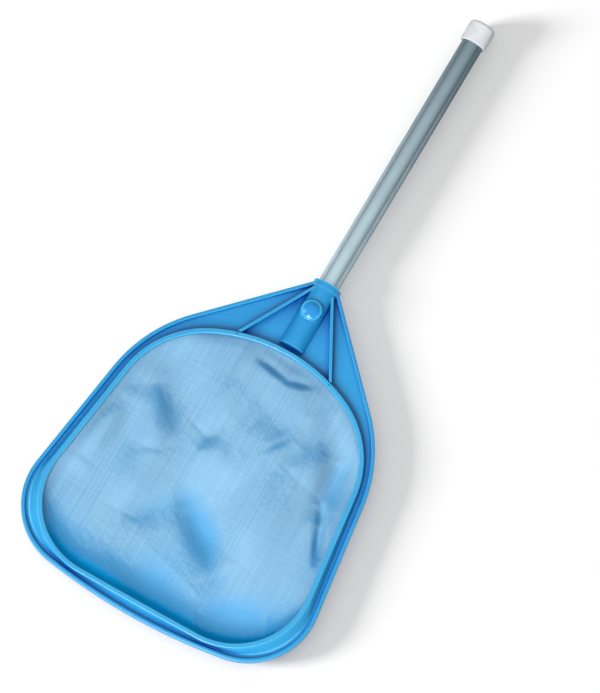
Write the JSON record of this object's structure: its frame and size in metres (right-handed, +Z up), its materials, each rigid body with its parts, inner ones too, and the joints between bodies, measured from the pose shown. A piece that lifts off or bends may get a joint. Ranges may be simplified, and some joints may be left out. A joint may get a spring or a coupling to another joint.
{
  "type": "leaf skimmer net",
  "caption": "Flat pool leaf skimmer: moulded pear-shaped frame, shallow woven net under a press-fit hoop, and a short aluminium tube handle with a push-button lock.",
  "frame": {"origin": "on the floor under the middle of the whole tool", "axes": "+Y along the handle towards its cap, +X across the net, +Z up out of the net's open side"},
  "size_m": [0.3174, 0.6908, 0.0334],
  "materials": {
    "frame_plastic": "injection-moulded polypropylene, satin gloss",
    "hoop_plastic": "injection-moulded polypropylene, satin gloss",
    "net_fabric": "fine plain-woven monofilament net",
    "tube_aluminium": "drawn and anodised tube",
    "cap_plastic": "translucent white soft plastic",
    "button_plastic": "glossy moulded plastic",
    "spring_steel": "stainless spring steel"
  },
  "bodies": {
    "skimmer": {"head_frame": "frame_plastic", "net_hoop": "hoop_plastic", "net_hem": "net_fabric", "net_mesh": "net_fabric", "handle_tube": "tube_aluminium", "end_cap": "cap_plastic", "spring_clip": "spring_steel"},
    "push_button": {"lock_button": "button_plastic", "lock_pin": "spring_steel"}
  },
  "joints": [
    {"name": "button_press", "type": "slide", "parent": "skimmer", "child": "push_button", "axis": [0, 0, -1], "range_m": [0, 0.0022], "stiffness_N_per_m": 1500, "springref_m": -0.003, "deforming": ["spring_clip"]}
  ]
}
